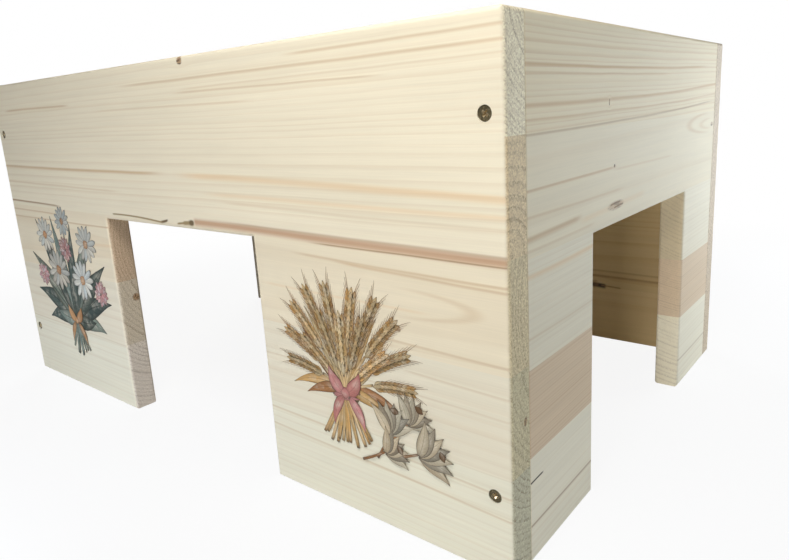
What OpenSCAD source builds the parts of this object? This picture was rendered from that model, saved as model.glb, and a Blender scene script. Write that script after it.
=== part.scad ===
// Rabbit house with a flat roof and three doorways, screwed together from glued spruce boards.
// The front and back boards run the full length, and the end boards stand between them.
// The roof board lies loose on two battens, level with the wall tops, and lifts straight out.
// Origin: middle of the floor under the house. Front faces -Y, +Z is up. All sizes in millimetres.

/* [House] */
// Length over the ends of the front board
house_length = 590; // [440:1:800]
// Depth over the front and back boards
house_depth = 400; // [320:1:600]
// Height of the walls
house_height = 300; // [260:1:450]
// Thickness of the glued boards
board_thick = 20; // [16:0.5:24]

/* [Doorways] */
// Width of the front doorway
front_door_width = 198; // [120:1:240]
// Height of the front doorway
front_door_height = 178; // [120:1:215]
// Width of the doorway in each end board
end_door_width = 190; // [120:1:220]
// Height of the doorway in each end board
end_door_height = 176; // [120:1:215]

/* [Edges] */
// Radius of the routed round-over on every free edge
edge_round = 2.5; // [1:0.1:4]
// Radius of the sanded arris along the corner seams
seam_ease = 0.8; // [0.3:0.1:1.5]
// Radius of the sanded arris on the battens
batten_ease = 1.5; // [0.5:0.1:3]

/* [Roof] */
// Gap all round between the roof board and the walls
roof_gap = 2; // [1:0.5:6]
// Width and height of the square battens under the roof
batten_size = 20; // [16:1:30]
// Gap between each batten end and the end board
batten_end_gap = 0.5; // [0.2:0.1:3]

/* [Corner screws] */
// Outside diameter of the thread
corner_thread_d = 4; // [3.5:0.1:5]
// Diameter of the countersunk head
corner_head_d = 8; // [7:0.1:10]
// How deep the screws bite into the end boards
corner_bite = 25.5; // [18:0.5:40]
// Distance from the board end to the screw
corner_inset = 11; // [10:0.5:13]
// Distance from the bottom edge up to the lower screws
corner_low_margin = 50; // [25:0.5:90]
// Distance from the top edge down to the upper screws
corner_high_margin = 47.5; // [25:0.5:90]

/* [Batten screws] */
// Outside diameter of the thread
batten_thread_d = 3.5; // [3:0.1:4]
// Diameter of the countersunk head
batten_head_d = 7; // [6:0.1:8]
// How deep the screws bite into the wall
batten_bite = 10.5; // [6:0.5:12]
// Distance from each batten end to its outer screw
batten_screw_margin = 60; // [20:1:150]
// Number of screws along each batten
batten_screw_count = 3; // [2:1:6]

/* [Screw details] */
// How far a screw head is sunk below the wood
head_sink = 0.5; // [0.2:0.1:1]
// Height of the straight rim round a screw head
head_rim = 0.4; // [0.2:0.1:0.8]
// Length of the tapered point
point_length = 6; // [3:0.5:8]
// Diameter of the blunt tip
tip_d = 0.6; // [0.3:0.1:1]
// Depth of the cross recess
recess_depth = 2; // [1:0.1:2.4]
// Width of one arm of the cross recess
recess_arm = 1.1; // [0.6:0.1:1.5]
// Share of the head's diameter that the cross spans
recess_share = 0.52; // [0.4:0.01:0.6]
// Gap between a screw and the wood that it bites
thread_gap = 0.05; // [0.02:0.01:0.2]
// Gap between a screw's shank and its clearance hole
shank_gap = 0.25; // [0.1:0.05:0.5]
// Length that a pilot hole runs on past the tip
pilot_spare = 1; // [0.5:0.5:3]

/* [Hidden] */
$fn = 64;
spruce = [0.93, 0.87, 0.74];
batten_pine = [0.88, 0.79, 0.62];
bronzed_steel = [0.33, 0.27, 0.16];

// How far a cutter runs on past the face that it cuts
overcut = 1;
inner_length = house_length - 2 * board_thick;
inner_depth = house_depth - 2 * board_thick;
roof_length = inner_length - 2 * roof_gap;
roof_depth = inner_depth - 2 * roof_gap;
roof_seat_z = house_height - board_thick;
batten_length = inner_length - 2 * batten_end_gap;
batten_mid_z = roof_seat_z - batten_size / 2;
corner_screw_length = board_thick - head_sink + corner_bite;
batten_screw_length = batten_size - head_sink + batten_bite;
batten_screw_span = batten_length - 2 * batten_screw_margin;

// Screw places on a wall, as seen on its outer face: along the wall, and up
corner_screw_places = [
    for (side = [-1, 1], up = [corner_low_margin, house_height - corner_high_margin])
        [side * (house_length / 2 - corner_inset), up]
];
batten_screw_places = [
    for (i = [0 : batten_screw_count - 1])
        [batten_screw_span * (i / (batten_screw_count - 1) - 0.5), batten_mid_z]
];

// A plain board seen square on, anticlockwise from its lower left corner
function plain_outline(length, height) =
    [[-length / 2, 0], [length / 2, 0], [length / 2, height], [-length / 2, height]];

// A wall with a doorway in the middle of its lower edge, anticlockwise from its lower left corner
function doorway_outline(length, height, door_width, door_height) = [
    [-length / 2, 0],
    [-door_width / 2, 0],
    [-door_width / 2, door_height],
    [door_width / 2, door_height],
    [door_width / 2, 0],
    [length / 2, 0],
    [length / 2, height],
    [-length / 2, height]
];

// Radius for each edge of an outline: one value on the two upright ends, another on the rest
function edge_radii(outline, free, ends) = [
    for (i = [0 : len(outline) - 1])
        let (from = outline[i], to = outline[(i + 1) % len(outline)], half = outline[0].x)
        from.x == to.x && abs(from.x) == abs(half) ? ends : free
];

// Section of the wood that a round-over takes off: x runs in from the edge, y down from the face
module round_over_section(radius, outside) {
    difference() {
        translate([-outside, -overcut])
            square([radius + outside, radius + overcut]);
        translate([radius, radius])
            circle(radius);
    }
}

// Round-over along the whole outline of the face at z = 0, for a board that lies above it.
// Straight runs are extruded, and the inner corners of a doorway are turned about the corner.
module round_over(outline, radii) {
    count = len(outline);
    for (i = [0 : count - 1]) {
        before = outline[(i + count - 1) % count];
        from = outline[i];
        to = outline[(i + 1) % count];
        after = outline[(i + 2) % count];
        run = to - from;
        turn_in = cross(from - before, run);
        turn_out = cross(run, after - to);
        angle = atan2(run.y, run.x);
        lead_in = turn_in > 0 ? overcut : 0;
        lead_out = turn_out > 0 ? overcut : 0;
        translate([from.x, from.y, 0])
            rotate([0, 0, angle]) {
                rotate([90, 0, 90])
                    translate([0, 0, -lead_in])
                        linear_extrude(norm(run) + lead_in + lead_out)
                            round_over_section(radii[i], overcut);
                if (turn_in < 0)
                    rotate([0, 0, 90])
                        rotate_extrude(angle = 90)
                            round_over_section(radii[i], 0);
            }
    }
}

// Board of the given outline from z = 0 up, with its corners rounded in plan and its edges on
// the lower and upper face rounded over by their own radii
module eased_board(outline, thick, lower_radii, upper_radii, corner_radius) {
    count = len(outline);
    difference() {
        linear_extrude(thick)
            difference() {
                polygon(outline);
                for (i = [0 : count - 1]) {
                    run = outline[(i + 1) % count] - outline[i];
                    outer = abs(outline[i].x) == abs(outline[0].x);
                    if (outer && corner_radius > 0)
                        translate(outline[i])
                            rotate(atan2(run.y, run.x))
                                round_over_section(corner_radius, overcut);
                }
            }
        round_over(outline, lower_radii);
        translate([0, 0, thick])
            mirror([0, 0, 1])
                round_over(outline, upper_radii);
    }
}

// Countersunk wood screw that points down, with the flat of its head at z = 0
module wood_screw(length, thread_d, head_d) {
    cone_height = (head_d - thread_d) / 2;
    difference() {
        union() {
            translate([0, 0, -head_rim])
                cylinder(h = head_rim, d = head_d);
            translate([0, 0, -head_rim - cone_height])
                cylinder(h = cone_height, d1 = thread_d, d2 = head_d);
            translate([0, 0, point_length - length])
                cylinder(h = length - point_length - head_rim - cone_height, d = thread_d);
            translate([0, 0, -length])
                cylinder(h = point_length, d1 = tip_d, d2 = thread_d);
        }
        for (turn = [0, 90])
            rotate([0, 0, turn])
                translate([-recess_share * head_d / 2, -recess_arm / 2, -recess_depth])
                    cube([recess_share * head_d, recess_arm, recess_depth + overcut]);
    }
}

// Room for such a screw in the piece that its head sinks into: countersink and clearance hole
module clearance_hole(depth, thread_d, head_d) {
    cone_height = (head_d - thread_d) / 2;
    head_room = head_sink + head_rim;
    translate([0, 0, -depth - overcut])
        cylinder(h = depth + 2 * overcut, d = thread_d + 2 * shank_gap);
    translate([0, 0, -head_room - cone_height])
        cylinder(h = cone_height, d1 = thread_d + 2 * thread_gap, d2 = head_d + 2 * thread_gap);
    translate([0, 0, -head_room])
        cylinder(h = head_room + overcut, d = head_d + 2 * thread_gap);
}

// Pilot hole in the piece that a screw bites, from its face at z = 0 down
module pilot_hole(bite, thread_d) {
    translate([0, 0, -bite - pilot_spare])
        cylinder(h = bite + pilot_spare + overcut, d = thread_d + 2 * thread_gap);
}

// Frames of the walls: x along the wall, y up, z = 0 on the inner face and z = board_thick outside
module on_front() {
    translate([0, board_thick - house_depth / 2, 0])
        rotate([90, 0, 0])
            children();
}

module on_back() {
    rotate([0, 0, 180])
        on_front()
            children();
}

module on_right_end() {
    translate([house_length / 2 - board_thick, 0, 0])
        rotate([90, 0, 90])
            children();
}

module on_left_end() {
    rotate([0, 0, 180])
        on_right_end()
            children();
}

// The four holes that a long wall has for its corner screws
module corner_clearance_holes() {
    for (place = corner_screw_places)
        translate([place.x, place.y, board_thick])
            clearance_hole(board_thick, corner_thread_d, corner_head_d);
}

// The pilot holes that meet them in the edges of the end boards
module corner_pilot_holes() {
    for (place = corner_screw_places)
        translate([place.x, place.y, 0])
            pilot_hole(corner_bite, corner_thread_d);
}

// The pilot holes in a long wall for the screws of its batten, drilled from inside
module batten_pilot_holes() {
    for (place = batten_screw_places)
        translate([place.x, place.y, 0])
            mirror([0, 0, 1])
                pilot_hole(batten_bite, batten_thread_d);
}

module long_wall(outline) {
    difference() {
        eased_board(
            outline,
            board_thick,
            edge_radii(outline, edge_round, seam_ease),
            edge_radii(outline, edge_round, edge_round),
            edge_round
        );
        corner_clearance_holes();
        batten_pilot_holes();
    }
}

// End board between the long walls; its upright ends butt against their inner faces
module end_wall() {
    outline = doorway_outline(inner_depth, house_height, end_door_width, end_door_height);
    eased_board(
        outline,
        board_thick,
        edge_radii(outline, edge_round, seam_ease),
        edge_radii(outline, edge_round, seam_ease),
        0
    );
}

module corner_screws() {
    for (place = corner_screw_places)
        translate([place.x, place.y, board_thick - head_sink])
            wood_screw(corner_screw_length, corner_thread_d, corner_head_d);
}

// Square batten against the inner face of a long wall, drilled for its screws
module roof_batten() {
    outline = plain_outline(batten_length, batten_size);
    radii = edge_radii(outline, batten_ease, batten_ease);
    difference() {
        translate([0, batten_mid_z - batten_size / 2, -batten_size])
            eased_board(outline, batten_size, radii, radii, batten_ease);
        for (place = batten_screw_places)
            translate([place.x, place.y, -batten_size])
                mirror([0, 0, 1])
                    clearance_hole(batten_size, batten_thread_d, batten_head_d);
    }
}

module batten_screws() {
    for (place = batten_screw_places)
        translate([place.x, place.y, head_sink - batten_size])
            mirror([0, 0, 1])
                wood_screw(batten_screw_length, batten_thread_d, batten_head_d);
}

module front_panel() {
    color(spruce)
        on_front()
            long_wall(doorway_outline(house_length, house_height, front_door_width, front_door_height));
}

module back_panel() {
    color(spruce)
        on_back()
            long_wall(plain_outline(house_length, house_height));
}

module right_end_panel() {
    color(spruce)
        difference() {
            on_right_end()
                end_wall();
            on_front()
                corner_pilot_holes();
            on_back()
                corner_pilot_holes();
        }
}

module left_end_panel() {
    color(spruce)
        difference() {
            on_left_end()
                end_wall();
            on_front()
                corner_pilot_holes();
            on_back()
                corner_pilot_holes();
        }
}

module roof_board() {
    outline = plain_outline(roof_length, roof_depth);
    radii = edge_radii(outline, edge_round, edge_round);
    color(spruce)
        translate([0, -roof_depth / 2, roof_seat_z])
            eased_board(outline, board_thick, radii, radii, edge_round);
}

module front_roof_batten() {
    color(batten_pine)
        on_front()
            roof_batten();
}

module back_roof_batten() {
    color(batten_pine)
        on_back()
            roof_batten();
}

module front_panel_screws() {
    color(bronzed_steel)
        on_front()
            corner_screws();
}

module back_panel_screws() {
    color(bronzed_steel)
        on_back()
            corner_screws();
}

module front_batten_screws() {
    color(bronzed_steel)
        on_front()
            batten_screws();
}

module back_batten_screws() {
    color(bronzed_steel)
        on_back()
            batten_screws();
}

front_panel();
back_panel();
left_end_panel();
right_end_panel();
roof_board();
front_roof_batten();
back_roof_batten();
front_panel_screws();
back_panel_screws();
front_batten_screws();
back_batten_screws();
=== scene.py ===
import math
import random

import bpy
from mathutils import Euler, Matrix, Vector


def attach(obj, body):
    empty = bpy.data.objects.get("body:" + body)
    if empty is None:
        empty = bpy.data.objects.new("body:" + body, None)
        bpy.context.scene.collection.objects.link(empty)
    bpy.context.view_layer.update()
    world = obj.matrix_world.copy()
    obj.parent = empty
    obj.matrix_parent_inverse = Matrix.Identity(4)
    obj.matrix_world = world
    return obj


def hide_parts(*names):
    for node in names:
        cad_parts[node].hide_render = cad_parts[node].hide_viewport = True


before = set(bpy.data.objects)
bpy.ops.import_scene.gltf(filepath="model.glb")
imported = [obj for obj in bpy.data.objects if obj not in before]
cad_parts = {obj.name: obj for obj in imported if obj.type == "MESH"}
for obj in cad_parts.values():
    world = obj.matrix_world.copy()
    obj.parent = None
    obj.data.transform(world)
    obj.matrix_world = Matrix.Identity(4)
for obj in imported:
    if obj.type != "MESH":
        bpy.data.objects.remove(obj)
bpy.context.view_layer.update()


# Front board: spruce strips glued edge to edge and planed to 20 mm, with the doorway sawn out of it.
# The strips run lengthwise, so growth rings show as lines on the faces and as arcs on the sawn ends.
# It is sanded, left bare and screwed to the end boards through its four corners.
class Wire:
    """A value in a material's node tree. Sums written with it add Math nodes to that tree."""

    def __init__(self, tree, socket=None):
        self.tree = tree
        self.socket = socket

    def add(self, kind, sockets, output=0, stops=(), **settings):
        """Adds a node: its settings and ramp stops first, then the values or links of its sockets."""
        node = self.tree.nodes.new(kind)
        for setting, value in settings.items():
            setattr(node, setting, value)
        for count, (place, colour) in enumerate(stops):
            band = node.color_ramp.elements
            stop = band[0] if count == 0 else band.new(place)
            stop.position = place
            stop.color = colour
        if stops:
            node.color_ramp.interpolation = "CONSTANT"
            node.color_ramp.elements.remove(node.color_ramp.elements[-1])
        for name, value in sockets.items():
            if isinstance(value, Wire):
                self.tree.links.new(value.socket, node.inputs[name])
            else:
                node.inputs[name].default_value = value
        return Wire(self.tree, node.outputs[output])

    def maths(self, operation, *values):
        return self.add("ShaderNodeMath", dict(enumerate(values)), operation=operation)

    def __add__(self, other):
        return self.maths("ADD", self, other)

    __radd__ = __add__

    def __sub__(self, other):
        return self.maths("SUBTRACT", self, other)

    def __rsub__(self, other):
        return self.maths("SUBTRACT", other, self)

    def __mul__(self, other):
        return self.maths("MULTIPLY", self, other)

    __rmul__ = __mul__

    def __truediv__(self, other):
        return self.maths("DIVIDE", self, other)

    def __pow__(self, other):
        return self.maths("POWER", self, other)

    def __abs__(self):
        return self.maths("ABSOLUTE", self)

    def floor(self):
        return self.maths("FLOOR", self)

    def at_least(self, other):
        return self.maths("MAXIMUM", self, other)

    def rise(self, low, high):
        """0 below low, 1 above high, and smooth between."""
        places = {"Value": self, "From Min": low, "From Max": high}
        return self.add("ShaderNodeMapRange", places, interpolation_type="SMOOTHSTEP")

    def pick(self, low, high):
        """The colour low where this value is 0, and high where it is 1."""
        return self.add("ShaderNodeMix", {0: self, 6: low, 7: high}, output=2, data_type="RGBA")

    def tinted(self, other):
        """This colour multiplied by another."""
        sockets = {0: 1.0, 6: self, 7: other}
        return self.add("ShaderNodeMix", sockets, output=2, data_type="RGBA", blend_type="MULTIPLY")

    def noise(self, place, detail):
        return self.add("ShaderNodeTexNoise", {"Vector": place, "Scale": 1.0, "Detail": detail})

    def point(self, x, y, z):
        return self.add("ShaderNodeCombineXYZ", {0: x, 1: y, 2: z})


MM = 0.001
LENGTHWISE = (0, 1, 2)
ENDWISE = (1, 0, 2)
FLATWISE = (0, 2, 1)
EARLY_WOOD = (0.82, 0.755, 0.60, 1)
LATE_WOOD = (0.57, 0.40, 0.23, 1)
END_GRAIN = (0.66, 0.575, 0.44, 1)
END_LATE = (0.29, 0.22, 0.145, 1)
KNOT_CORE = (0.36, 0.20, 0.085, 1)
KNOT_RIM = (0.075, 0.04, 0.02, 1)
# A colour ramp holds 0 to 1, so what it looks up for a strip is stored as a share of these spans
PITH_REACH = 1000.0
RING_REACH = 10.0
LEAN_REACH = 0.1
# Sawn faces this far from the middle are a board's ends, and those nearer are the sides of its doorway
ENDS_FROM = 240.0
ENDS_SURE = 250.0


def spruce(name, axes, strips, seed, slope=0.0, lines=(), loops=(), knots=(),
           sawn_dark=1.0, sawn_tints=(), jamb_light_and_shade=(), inner_shade_tint=None):
    """Spruce glued up from strips, in millimetres. axes are the object axes along, into and across them.

    strips: lower and upper edge, pith into and across, ring width, lean of the pith, tint, ring contrast
    lines: start and end along, heights at start, middle and end, thickness, weight, colour
    loops: middle along and across, half length, half height, thickness, weight, colour
    knots: middle along, into and across, half sizes along, into and across, darkness
    sawn_tints: tints of each strip on the board's sawn ends, which may carry painted light and shade
    jamb_light_and_shade: painted light and shade of each strip on the sides of its doorway
    inner_shade_tint: painted shade, a darker and warmer tint on the face that looks back along the second
    axis
    """
    material = bpy.data.materials.new(name)
    material.use_nodes = True
    tree = material.node_tree
    shader = tree.nodes["Principled BSDF"]
    start = Wire(tree)
    place = start.add("ShaderNodeTexCoord", {}, output="Object")
    sides = [start.add("ShaderNodeSeparateXYZ", {0: place}, output=i) / MM for i in range(3)]
    along, into, across = (sides[axis] for axis in axes)

    def grain(stretch, fine, detail, shift):
        """Noise drawn out along the grain: stretch and fine are its grain per millimetre."""
        return start.noise(start.point(along * stretch + shift, into * fine, across * fine), detail)

    # Each strip comes from its own tree: its pith, ring width, lean, tint and ring contrast
    low, high = strips[0][0], strips[-1][1]
    share = (across - low) / (high - low)
    edges = [(strip[0] - low) / (high - low) for strip in strips]
    shapes = [
        (0.5 + pith_in / PITH_REACH, 0.5 + pith_up / PITH_REACH,
         ring / RING_REACH, 0.5 + lean / LEAN_REACH)
        for _, _, pith_in, pith_up, ring, lean, _, _ in strips
    ]
    tones = [(*tint, contrast) for *_, tint, contrast in strips]
    shape_stops = list(zip(edges, shapes))
    tone_stops = list(zip(edges, tones))
    pith = start.add("ShaderNodeValToRGB", {0: share}, stops=shape_stops)
    lean = (start.add("ShaderNodeValToRGB", {0: share}, output=1, stops=shape_stops) - 0.5) * LEAN_REACH
    tint = start.add("ShaderNodeValToRGB", {0: share}, stops=tone_stops)
    contrast = start.add("ShaderNodeValToRGB", {0: share}, output=1, stops=tone_stops)
    sawn_tint = tint
    if sawn_tints:
        sawn_stops = [(edge, (*tone, 1)) for edge, tone in zip(edges, sawn_tints)]
        sawn_tint = start.add("ShaderNodeValToRGB", {0: share}, stops=sawn_stops)
    # The sides of the doorway can take painted light and shade in place of the sawn ends' tints
    if jamb_light_and_shade:
        jamb_light_stops = [(edge, (*tone, 1)) for edge, tone in zip(edges, jamb_light_and_shade)]
        painted_jamb_light = start.add("ShaderNodeValToRGB", {0: share}, stops=jamb_light_stops)
        sawn_tint = abs(along).rise(ENDS_FROM, ENDS_SURE).pick(painted_jamb_light, sawn_tint)
    pith_in = (start.add("ShaderNodeSeparateColor", {0: pith}, output=0) - 0.5) * PITH_REACH
    pith_up = (start.add("ShaderNodeSeparateColor", {0: pith}, output=1) - 0.5) * PITH_REACH
    ring = start.add("ShaderNodeSeparateColor", {0: pith}, output=2) * RING_REACH

    # Knots push the grain aside; their cores are streaked and darkest at the rim
    level = across - along * slope
    stroke = grain(0.12, 0.9, 3.0, seed + 3.0)
    core = rim = None
    for knot_along, knot_in, knot_up, half_along, half_in, half_up, dark in knots:
        off = (along - knot_along) / half_along
        deep = (into - knot_in) / half_in
        rise = (across - knot_up) / half_up
        apart = (off * off + deep * deep + rise * rise) ** 0.5 + 0.5 * (stroke - 0.5)
        near = (1.0 - (off * off * 0.03 + deep * deep * 0.1 + rise * rise * 0.1)).at_least(0.0) ** 2.0
        level = level - (across - knot_up) * near * 0.6
        this_core = (1.0 - apart.rise(0.6, 1.15)) * dark
        this_rim = apart.rise(0.3, 0.85) * (1.0 - apart.rise(0.85, 1.2)) * dark
        core = this_core if core is None else core.at_least(this_core)
        rim = this_rim if rim is None else rim.at_least(this_rim)

    # Growth rings: distance to the strip's pith, with a late-wood line at the end of each year
    sway = grain(0.003, 0.01, 2.0, seed)
    wander = grain(0.004, 0.015, 3.0, seed + 40.0) - 0.5
    off_in = into - pith_in - lean * along + 1.2 * (sway - 0.5)
    off_up = level - pith_up + 4.5 * wander
    year = (off_in * off_in + off_up * off_up) ** 0.5 / ring
    years = {"W": year * 0.31 + seed, "Scale": 1.0, "Detail": 1.0}
    uneven = start.add("ShaderNodeTexNoise", years, noise_dimensions="1D")
    year = year + 1.5 * uneven
    season = year - year.floor()
    vigour = start.add("ShaderNodeTexWhiteNoise", {"W": year.floor() + seed}, noise_dimensions="1D")
    late = season.rise(0.4, 0.92) * (1.0 - season.rise(0.9, 1.0)) * (0.25 + 0.75 * vigour)

    # Faces square to the grain are sawn ends, with pores in place of fibres
    facing = start.add("ShaderNodeNewGeometry", {}, output="Normal")
    sawn = abs(start.add("ShaderNodeSeparateXYZ", {0: facing}, output=axes[0])).rise(0.5, 0.9)

    fibre = grain(0.022, 1.3, 3.0, seed + 7.0)
    streak = grain(0.005, 0.22, 2.0, seed + 29.0)
    blotch = grain(0.006, 0.025, 2.0, seed + 13.0)
    pores = start.noise(start.point(along * 1.1, into * 1.1, across * 1.1), 3.0)

    faces = (late * contrast).pick(EARLY_WOOD, LATE_WOOD)
    for from_along, to_along, from_up, mid_up, to_up, thick, weight, colour in lines:
        run = (along - from_along) / (to_along - from_along)
        bow = 4.0 * mid_up - 2.0 * (from_up + to_up)
        middle = from_up + run * (to_up - from_up) + run * (1.0 - run) * bow
        gap = (across - middle + 3.5 * wander) / thick
        body = gap.rise(-1.1, 0.0) * (1.0 - gap.rise(0.0, 0.8))
        taper = 0.12 if weight < 1.0 else 4.0 / (to_along - from_along)
        fade = run.rise(0.0, taper) * (1.0 - run.rise(1.0 - taper, 1.0))
        faces = (body * fade * weight * (0.5 + 0.8 * streak)).pick(faces, colour)
    for middle_along, middle_up, half_along, half_up, thick, weight, colour in loops:
        off = (along - middle_along) / half_along
        rise = (across - middle_up + 3.0 * wander) / half_up
        gap = ((off * off + rise * rise) ** 0.5 - 1.0) * half_up / thick
        body = gap.rise(-1.0, 0.0) * (1.0 - gap.rise(0.0, 1.0)) * off.rise(0.0, 0.6)
        faces = (body * weight).pick(faces, colour)
    end_tone = tuple(a + (b - a) * sawn_dark for a, b in zip(EARLY_WOOD, END_GRAIN))
    sawn_lines = late * (0.28 + 0.3 * sawn_dark) + pores.rise(0.48, 0.68) * 0.46 * sawn_dark
    ends = sawn_lines.pick(end_tone, END_LATE)
    ends = ((1.0 - pores.rise(0.36, 0.47)) * 0.8).pick(ends, EARLY_WOOD)
    wood = sawn.pick(faces.tinted(tint), ends.tinted(sawn_tint))
    # Painted shade: the face that looks back along the second axis is darkened and warmed
    if inner_shade_tint:
        turned = start.add("ShaderNodeSeparateXYZ", {0: facing}, output=axes[1])
        wood = wood.tinted((0.0 - turned).rise(0.5, 0.9).pick((1, 1, 1, 1), (*inner_shade_tint, 1)))
    if knots:
        wood = (core * 0.9).pick(wood, KNOT_CORE)
        wood = (rim.at_least(core * 0.9) * stroke.rise(0.46, 0.6)).pick(wood, KNOT_RIM)
    shade = 0.82 + 0.13 * fibre + 0.12 * blotch + 0.11 * streak
    wood = wood.tinted(start.add("ShaderNodeCombineColor", {0: shade, 1: shade, 2: shade}))

    relief = fibre * 0.6 + late * 0.4 + pores * sawn * 1.5
    bump = start.add("ShaderNodeBump", {"Height": relief, "Strength": 0.22, "Distance": 0.0004})
    tree.links.new(wood.socket, shader.inputs["Base Color"])
    tree.links.new((0.55 + 0.16 * fibre).socket, shader.inputs["Roughness"])
    tree.links.new(bump.socket, shader.inputs["Normal"])
    shader.inputs["Specular IOR Level"].default_value = 0.3
    return material


def dress(node, material):
    """Gives a node of the frame this finish alone."""
    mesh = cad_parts[node].data
    mesh.materials.clear()
    mesh.materials.append(material)


PLAIN = (1.0, 1.0, 1.0)
WARM = (1.0, 0.98, 0.94)
COOL = (0.98, 0.99, 0.99)
PINK = (0.86, 0.745, 0.665)
BLEACHED = (0.97, 1.0, 1.0)
CREAM = (0.99, 0.95, 0.89)
SILVERY = (0.96, 0.955, 0.94)
TAN = LATE_WOOD
ORANGE = (0.76, 0.53, 0.29, 1)
BROWN = (0.36, 0.24, 0.14, 1)
OLIVE = (0.16, 0.115, 0.06, 1)
UMBER_MARK = (0.33, 0.25, 0.13, 1)
PITH = (0.54, 0.36, 0.24, 1)
BLACK = (0.05, 0.035, 0.02, 1)

front_strips = [
    (0.0, 62.0, -165.0, 85.0, 3.6, 0.004, BLEACHED, 0.2),
    (62.0, 120.0, -120.0, 140.0, 4.4, -0.003, SILVERY, 0.22),
    (120.0, 181.0, -112.0, 152.0, 3.0, 0.008, CREAM, 0.26),
    (181.0, 241.0, -196.0, 183.0, 6.0, 0.0, WARM, 0.24),
    (241.0, 300.0, -150.0, 315.0, 3.0, 0.002, WARM, 0.24),
]
front_lines = [
    (140.0, 350.0, 291.5, 292.0, 292.0, 1.6, 0.6, TAN),
    (-60.0, 350.0, 284.5, 285.0, 285.5, 1.7, 0.65, TAN),
    (20.0, 340.0, 278.0, 279.0, 279.5, 1.2, 0.35, TAN),
    (20.0, 230.0, 276.0, 275.5, 274.5, 1.2, 0.55, TAN),
    (-100.0, 120.0, 267.0, 267.5, 267.0, 1.2, 0.3, TAN),
    (-275.0, -130.0, 275.0, 274.8, 274.0, 1.6, 0.75, TAN),
    (-355.0, 10.0, 222.0, 220.0, 219.5, 2.2, 0.85, TAN),
    (10.0, 360.0, 218.5, 215.0, 209.0, 3.8, 0.6, ORANGE),
    (40.0, 345.0, 205.5, 204.0, 202.0, 2.6, 0.4, ORANGE),
    (-335.0, -60.0, 206.0, 204.5, 203.0, 1.6, 0.4, TAN),
    (60.0, 335.0, 200.0, 198.0, 196.0, 1.7, 0.3, TAN),
    (-330.0, -180.0, 186.0, 185.9, 184.5, 1.7, 0.95, BROWN),
    (-335.0, -190.0, 177.5, 177.0, 176.5, 1.4, 0.7, TAN),
    (-335.0, -60.0, 170.0, 169.8, 170.5, 1.3, 0.7, TAN),
    (-160.0, -60.0, 152.0, 153.5, 155.0, 2.6, 0.35, ORANGE),
    (130.0, 345.0, 172.0, 169.0, 166.5, 1.5, 0.55, TAN),
    (170.0, 340.0, 170.0, 166.5, 163.5, 1.5, 0.6, TAN),
    (100.0, 250.0, 148.0, 147.5, 147.0, 1.6, 0.3, ORANGE),
    (190.0, 335.0, 128.0, 126.0, 125.0, 1.5, 0.5, TAN),
    (220.0, 330.0, 110.0, 108.5, 107.0, 1.4, 0.35, TAN),
    (60.0, 330.0, 96.5, 97.0, 95.0, 1.2, 0.3, TAN),
    (60.0, 170.0, 57.0, 56.0, 55.0, 1.4, 0.5, TAN),
    (200.0, 335.0, 54.0, 52.0, 50.5, 1.4, 0.5, TAN),
    (60.0, 345.0, 44.0, 40.5, 36.0, 1.4, 0.5, TAN),
    (-340.0, -60.0, 62.5, 62.0, 61.0, 1.2, 0.35, TAN),
    (31.0, 380.0, 184.0, 182.3, 179.2, 4.7, 1.1, PITH),
    (60.0, 380.0, 185.6, 184.2, 181.6, 1.5, 0.45, BROWN),
    (150.0, 340.0, 179.4, 178.8, 177.2, 0.9, 0.8, BROWN),
    (9.0, 33.0, 180.9, 182.2, 183.0, 1.3, 1.6, UMBER_MARK),
    (17.0, 33.0, 182.0, 182.6, 183.0, 2.4, 1.7, UMBER_MARK),
    (25.0, 33.5, 182.8, 183.0, 183.0, 3.4, 1.9, OLIVE),
    (-14.0, -1.0, 181.0, 181.8, 183.4, 1.6, 1.8, OLIVE),
    (-88.0, -8.0, 183.2, 183.0, 180.6, 1.3, 1.3, UMBER_MARK),
]
front_loops = [(216.0, 151.0, 58.0, 8.5, 1.6, 0.3, TAN)]
front_knots = [
    (222.3, -200.0, 134.8, 2.3, 9.0, 1.9, 0.75),
    (39.8, -198.5, 297.0, 3.2, 8.0, 3.0, 0.9),
    (-99.0, -184.5, 104.0, 6.0, 3.4, 3.6, 0.9),
    (292.0, -185.0, 90.5, 8.0, 2.2, 3.0, 0.75),
]
# The sawn ends at the corners are tinted darker towards the bottom and lighter towards the top
front_sawn = [
    (0.81, 0.87, 0.82),
    (0.92, 0.93, 0.79),
    (1.03, 0.99, 0.82),
    (1.09, 1.00, 0.82),
    (1.31, 1.35, 1.30),
]
# Painted light and shade on the sides of the front doorway: the lowest strip lighter and bluer, as if lit
# from the floor, and the strips above it darker and warmer, as shade under the lintel
front_jamb_light_and_shade = [
    (1.03, 1.04, 1.15),
    (0.88, 0.86, 0.85),
    (0.85, 0.72, 0.64),
]
front_wood = spruce("front_spruce", LENGTHWISE, front_strips, seed=3.0, lines=front_lines,
                    loops=front_loops, knots=front_knots, sawn_dark=0.9,
                    sawn_tints=front_sawn, jamb_light_and_shade=front_jamb_light_and_shade)
dress("front_panel", front_wood)


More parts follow.
